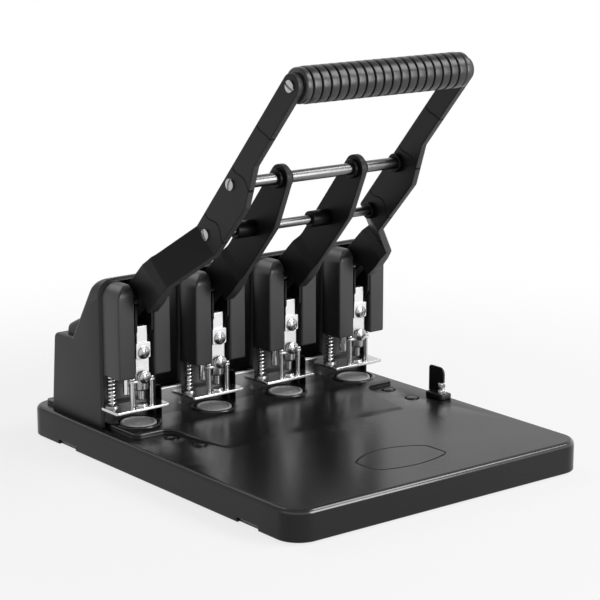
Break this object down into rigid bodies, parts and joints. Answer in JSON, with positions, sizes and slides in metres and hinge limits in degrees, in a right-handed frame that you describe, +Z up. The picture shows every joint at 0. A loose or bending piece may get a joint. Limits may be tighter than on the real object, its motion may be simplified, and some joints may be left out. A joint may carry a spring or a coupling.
{
  "type": "four-hole paper punch",
  "caption": "Heavy-duty lever paper punch: flat base with a row of punching heads, each with a hollow punch, hold-down plate and spring, pressed together by one long-handled lever.",
  "frame": {"origin": "middle of the base on the table plane, under the middle of the bounding box", "axes": "+X along the row of punches to the operator's right, +Y to the back, +Z up"},
  "size_m": [0.312, 0.388, 0.353],
  "materials": {
    "base_black": "satin moulded plastic, fine grain",
    "bottom_grey": "dark painted sheet steel",
    "foot_rubber": "matt black rubber",
    "screw_steel": "bright zinc-plated steel",
    "disc_grey": "grainy dark grey nylon, marked by the punches",
    "stop_zinc": "bright drawn steel",
    "pin_steel": "ground steel",
    "guide_black": "satin moulded plastic",
    "rod_steel": "dark polished steel",
    "collar_black": "smooth black plastic",
    "tube_steel": "drawn steel tube",
    "grip_black": "glossy ribbed plastic",
    "frame_black": "satin black powder coat on a casting",
    "cover_black": "satin moulded plastic",
    "lever_black": "satin black powder coat on steel",
    "slide_zinc": "bright zinc-plated steel",
    "yoke_dark": "dark oiled steel",
    "punch_steel": "hardened ground steel",
    "spring_steel": "bright spring wire"
  },
  "bodies": {
    "stand": {"base_shell": "base_black", "bottom_plate": "bottom_grey", "rubber_feet": "foot_rubber", "bottom_screws": "screw_steel", "head_screws": "screw_steel", "cutting_discs": "disc_grey", "back_stops": "stop_zinc", "head_frame_1": "frame_black", "head_frame_2": "frame_black", "head_frame_3": "frame_black", "head_frame_4": "frame_black", "head_cover_1": "cover_black", "head_cover_2": "cover_black", "head_cover_3": "cover_black", "head_cover_4": "cover_black", "cover_screws": "screw_steel", "pivot_pins": "pin_steel", "guide_posts": "pin_steel", "stop_pins": "pin_steel"},
    "press_lever": {"lever_1": "lever_black", "lever_2": "lever_black", "lever_3": "lever_black", "lever_4": "lever_black", "upper_rod": "rod_steel", "lower_rod": "rod_steel", "rod_collars": "collar_black", "arm_screws": "screw_steel", "grip_tube": "tube_steel", "grip_sleeve": "grip_black", "grip_caps": "collar_black", "drive_pins": "pin_steel"},
    "stop_guide": {"side_guide": "guide_black", "guide_screw": "screw_steel"},
    "punch_unit_1": {"slide_1": "slide_zinc", "yoke_1": "yoke_dark", "punch_1": "punch_steel", "slide_screws_1": "screw_steel"},
    "hold_down_1": {"hold_plate_1": "slide_zinc", "spring_1": "spring_steel"},
    "punch_unit_2": {"slide_2": "slide_zinc", "yoke_2": "yoke_dark", "punch_2": "punch_steel", "slide_screws_2": "screw_steel"},
    "hold_down_2": {"hold_plate_2": "slide_zinc", "spring_2": "spring_steel"},
    "punch_unit_3": {"slide_3": "slide_zinc", "yoke_3": "yoke_dark", "punch_3": "punch_steel", "slide_screws_3": "screw_steel"},
    "hold_down_3": {"hold_plate_3": "slide_zinc", "spring_3": "spring_steel"},
    "punch_unit_4": {"slide_4": "slide_zinc", "yoke_4": "yoke_dark", "punch_4": "punch_steel", "slide_screws_4": "screw_steel"},
    "hold_down_4": {"hold_plate_4": "slide_zinc", "spring_4": "spring_steel"}
  },
  "joints": [
    {"name": "lever_press", "type": "hinge", "parent": "stand", "child": "press_lever", "pos_m": [0, 0.084, 0.131], "axis": [1, 0, 0], "range_deg": [0, 49.24], "stiffness_Nm_per_rad": 6, "springref_deg": -51.57},
    {"name": "guide_shift", "type": "slide", "parent": "stand", "child": "stop_guide", "axis": [1, 0, 0], "range_m": [-0.003, 0.003]},
    {"name": "punch_drop_1", "type": "slide", "parent": "stand", "child": "punch_unit_1", "axis": [0, 0, -1], "range_m": [0, 0.02]},
    {"name": "plate_drop_1", "type": "slide", "parent": "stand", "child": "hold_down_1", "axis": [0, 0, -1], "range_m": [0, 0.011], "deforming": ["spring_1"]},
    {"name": "punch_drop_2", "type": "slide", "parent": "stand", "child": "punch_unit_2", "axis": [0, 0, -1], "range_m": [0, 0.02]},
    {"name": "plate_drop_2", "type": "slide", "parent": "stand", "child": "hold_down_2", "axis": [0, 0, -1], "range_m": [0, 0.011], "deforming": ["spring_2"]},
    {"name": "punch_drop_3", "type": "slide", "parent": "stand", "child": "punch_unit_3", "axis": [0, 0, -1], "range_m": [0, 0.02]},
    {"name": "plate_drop_3", "type": "slide", "parent": "stand", "child": "hold_down_3", "axis": [0, 0, -1], "range_m": [0, 0.011], "deforming": ["spring_3"]},
    {"name": "punch_drop_4", "type": "slide", "parent": "stand", "child": "punch_unit_4", "axis": [0, 0, -1], "range_m": [0, 0.02]},
    {"name": "plate_drop_4", "type": "slide", "parent": "stand", "child": "hold_down_4", "axis": [0, 0, -1], "range_m": [0, 0.011], "deforming": ["spring_4"]}
  ],
  "couplings": [
    {"joint": "punch_drop_1", "follows": "lever_press", "m_per_rad": 0.023268},
    {"joint": "plate_drop_1", "follows": "lever_press", "m_per_rad": 0.012797},
    {"joint": "punch_drop_2", "follows": "lever_press", "m_per_rad": 0.023268},
    {"joint": "plate_drop_2", "follows": "lever_press", "m_per_rad": 0.012797},
    {"joint": "punch_drop_3", "follows": "lever_press", "m_per_rad": 0.023268},
    {"joint": "plate_drop_3", "follows": "lever_press", "m_per_rad": 0.012797},
    {"joint": "punch_drop_4", "follows": "lever_press", "m_per_rad": 0.023268},
    {"joint": "plate_drop_4", "follows": "lever_press", "m_per_rad": 0.012797}
  ]
}
